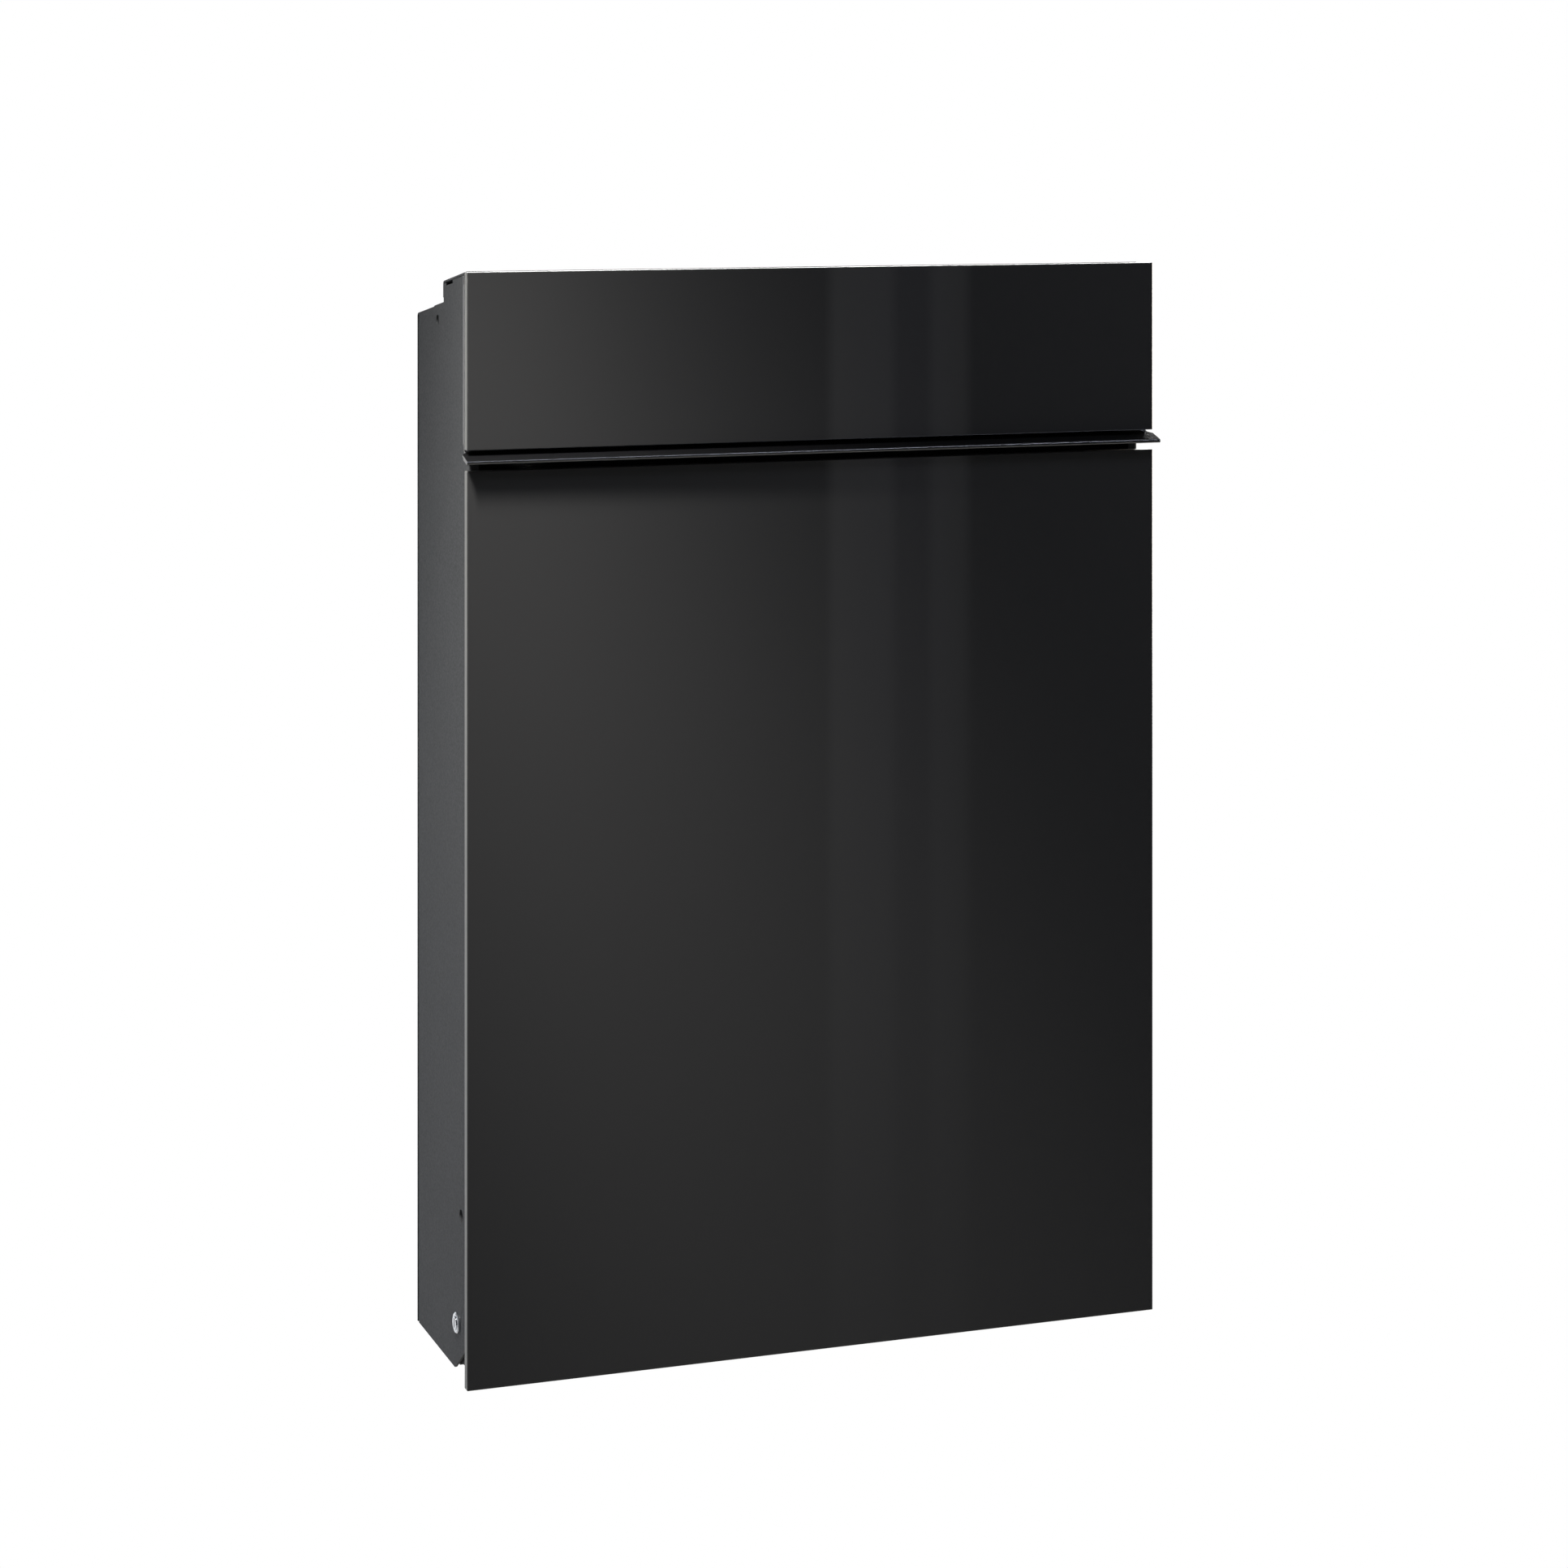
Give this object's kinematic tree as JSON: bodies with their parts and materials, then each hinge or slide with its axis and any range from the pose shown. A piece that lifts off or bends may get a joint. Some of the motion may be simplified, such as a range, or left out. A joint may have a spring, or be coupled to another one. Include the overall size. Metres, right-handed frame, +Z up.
{
  "type": "wall letterbox",
  "caption": "Wall-hung letterbox: dark glass front, mail flap with a full-width grip lip, and a side-hinged door with a small cam lock.",
  "frame": {"origin": "middle of the four wall holes, on the rear face of the back panel", "axes": "+Z up, +Y into the wall, +X to the right as seen from the front; the glass faces -Y"},
  "size_m": [0.363, 0.1158, 0.5334],
  "materials": {
    "coated_sheet": "fine-textured dark grey powder coat",
    "coated_sheet_inside": "dark grey powder coat, dull",
    "painted_glass": "polished clear glass, painted black on its back",
    "foam_tape": "grey acrylic foam",
    "stop_rubber": "matt black rubber",
    "zinc_plated_steel": "bright zinc plate",
    "nickel_plated_metal": "bright nickel plate",
    "wafer_brass": "dull brass",
    "washer_nylon": "natural nylon"
  },
  "bodies": {
    "housing": {"side_panel_left": "coated_sheet", "side_panel_right": "coated_sheet", "back_panel": "coated_sheet", "floor_panel": "coated_sheet_inside", "rain_cap": "coated_sheet", "cap_rivets": "zinc_plated_steel", "slot_sill": "coated_sheet_inside", "mail_guard": "coated_sheet_inside", "flap_hinge_lugs": "coated_sheet", "flap_bumpers": "stop_rubber", "door_bumpers": "stop_rubber", "hinge_bracket_lower": "zinc_plated_steel", "hinge_bracket_upper": "zinc_plated_steel", "door_hinge_pins": "nickel_plated_metal", "door_hinge_washers": "washer_nylon", "lock_body": "nickel_plated_metal", "lock_nut": "zinc_plated_steel"},
    "lock": {"lock_plug": "nickel_plated_metal", "lock_wafers": "wafer_brass", "lock_cam": "zinc_plated_steel", "cam_screw": "zinc_plated_steel"},
    "flap": {"flap_plate": "coated_sheet", "flap_hinge_rod": "nickel_plated_metal", "upper_glass": "painted_glass", "upper_bond_tapes": "foam_tape"},
    "door": {"door_pan": "coated_sheet", "door_returns": "coated_sheet", "hinge_post": "coated_sheet_inside", "lower_glass": "painted_glass", "lower_bond_tapes": "foam_tape", "lock_keeper": "zinc_plated_steel", "keeper_screw": "zinc_plated_steel", "keeper_nut": "zinc_plated_steel"}
  },
  "joints": [
    {"name": "flap_hinge", "type": "hinge", "parent": "housing", "child": "flap", "pos_m": [0, -0.10185, 0.275], "axis": [-1, 0, 0], "range_deg": [0, 75]},
    {"name": "door_hinge", "type": "hinge", "parent": "housing", "child": "door", "pos_m": [0.1715, -0.0935, 0], "axis": [0, 0, 1], "range_deg": [0, 100]},
    {"name": "lock_turn", "type": "hinge", "parent": "housing", "child": "lock", "pos_m": [-0.1645, -0.0801, -0.2316], "axis": [-1, 0, 0], "range_deg": [0, 90]}
  ]
}
